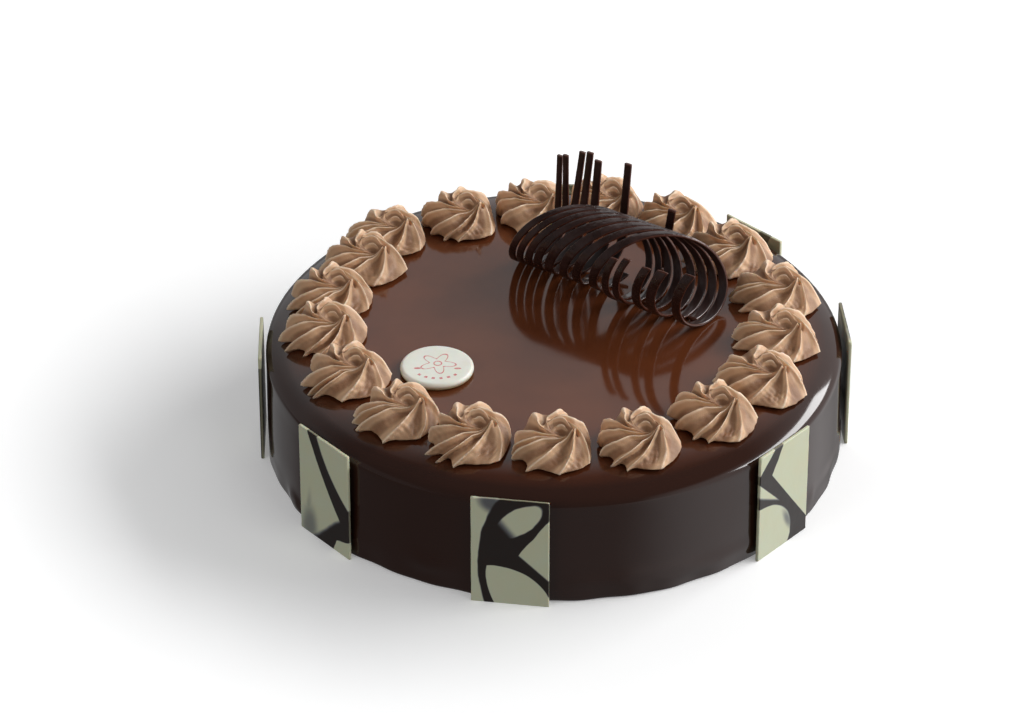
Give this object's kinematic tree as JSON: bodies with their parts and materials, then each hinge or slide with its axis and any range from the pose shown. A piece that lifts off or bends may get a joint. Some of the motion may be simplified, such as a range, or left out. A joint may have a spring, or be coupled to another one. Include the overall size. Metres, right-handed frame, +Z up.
{
  "type": "glazed chocolate torte",
  "caption": "Round chocolate torte under dark mirror glaze, with a ring of piped cream rosettes, a curl of combed chocolate strips, a white medallion and marbled plaques on its side.",
  "frame": {"origin": "middle of the cake's flat underside, on the surface that the cake stands on", "axes": "+Z up; the picture's viewer looks along +Y, so -Y is the front and +X the viewer's right"},
  "size_m": [0.2589, 0.2585, 0.1074],
  "materials": {
    "glaze": "dark chocolate mirror glaze, wet gloss",
    "cream": "milk chocolate buttercream, fine-grained and matt",
    "dark_chocolate": "dark chocolate, satin with glossy inner faces",
    "white_chocolate": "white chocolate, soft sheen, with a small printed motif",
    "marbled_chocolate": "white chocolate with dark chocolate bands, soft sheen"
  },
  "bodies": {
    "root": {"cake": "glaze", "rosette_01": "cream", "rosette_02": "cream", "rosette_03": "cream", "rosette_04": "cream", "rosette_05": "cream", "rosette_06": "cream", "rosette_07": "cream", "rosette_08": "cream", "rosette_09": "cream", "rosette_10": "cream", "rosette_11": "cream", "rosette_12": "cream", "rosette_13": "cream", "rosette_14": "cream", "rosette_15": "cream", "rosette_16": "cream", "rosette_17": "cream", "rosette_18": "cream", "curl_strip_1": "dark_chocolate", "curl_strip_2": "dark_chocolate", "curl_strip_3": "dark_chocolate", "curl_strip_4": "dark_chocolate", "curl_strip_5": "dark_chocolate", "curl_strip_6": "dark_chocolate", "curl_strip_7": "dark_chocolate", "curl_strip_8": "dark_chocolate", "curl_shard": "dark_chocolate", "medallion": "white_chocolate", "plaque_1": "marbled_chocolate", "plaque_2": "marbled_chocolate", "plaque_3": "marbled_chocolate", "plaque_4": "marbled_chocolate", "plaque_5": "marbled_chocolate", "plaque_6": "marbled_chocolate", "plaque_7": "marbled_chocolate"}
  },
  "joints": []
}
